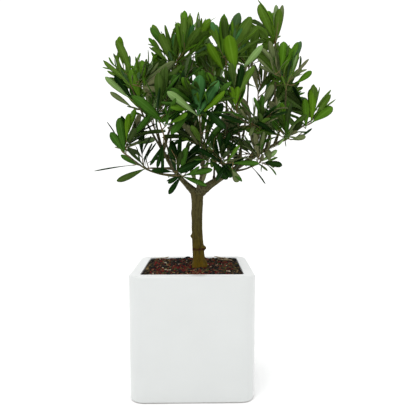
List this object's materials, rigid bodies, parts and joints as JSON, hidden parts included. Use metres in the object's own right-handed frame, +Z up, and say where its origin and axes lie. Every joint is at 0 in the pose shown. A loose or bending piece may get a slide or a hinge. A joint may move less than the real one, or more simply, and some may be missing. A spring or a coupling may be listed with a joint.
{
  "type": "olive bonsai",
  "caption": "Small olive tree grown as a bonsai, with a leaning trunk that forks low into a rounded crown of narrow leaves, in a plain square white planter filled with dark grit",
  "frame": {"origin": "centre of the flat underside of the pot, which stands on the ground at z = 0", "axes": "+Z is up, -Y is the front that faces the viewer, +X is the viewer's right"},
  "size_m": [0.2747, 0.209, 0.4344],
  "materials": {
    "glaze": "satin white glaze",
    "grit": "rough dark grit",
    "bark": "matt bark",
    "leaves": "satin leaves"
  },
  "bodies": {
    "root": {"pot": "glaze", "soil": "grit", "trunk": "bark", "bough_left": "bark", "bough_right": "bark", "bough_centre": "bark", "bough_left_low": "bark", "bough_left_high": "bark", "bough_upper_left": "bark", "bough_back_left": "bark", "bough_front_left": "bark", "bough_inner_left": "bark", "bough_low_left": "bark", "bough_hang_left": "bark", "bough_centre_front": "bark", "bough_top_left": "bark", "bough_back_centre": "bark", "bough_inner_centre": "bark", "bough_low_back": "bark", "bough_low_front": "bark", "bough_top_centre": "bark", "bough_front_right": "bark", "bough_top_middle": "bark", "bough_right_low": "bark", "bough_inner_right": "bark", "bough_whorl": "bark", "bough_back_right": "bark", "bough_top_right": "bark", "bough_right_end": "bark", "bough_upper_right": "bark", "leaves_right": "leaves", "leaves_whorl": "leaves", "leaves_top_right": "leaves", "leaves_upper_left": "leaves", "leaves_top_left": "leaves", "leaves_top_centre": "leaves", "leaves_top_middle": "leaves", "leaves_left_low": "leaves", "leaves_right_end": "leaves", "leaves_upper_right": "leaves", "leaves_low_left": "leaves", "leaves_hang_left": "leaves", "leaves_right_low": "leaves", "leaves_left": "leaves", "leaves_centre": "leaves", "leaves_centre_front": "leaves", "leaves_front_left": "leaves", "leaves_front_right": "leaves", "leaves_inner_left": "leaves", "leaves_inner_centre": "leaves", "leaves_inner_right": "leaves", "leaves_back_left": "leaves", "leaves_back_centre": "leaves", "leaves_back_right": "leaves", "leaves_low_back": "leaves", "leaves_low_front": "leaves", "leaves_left_high": "leaves"}
  },
  "joints": []
}
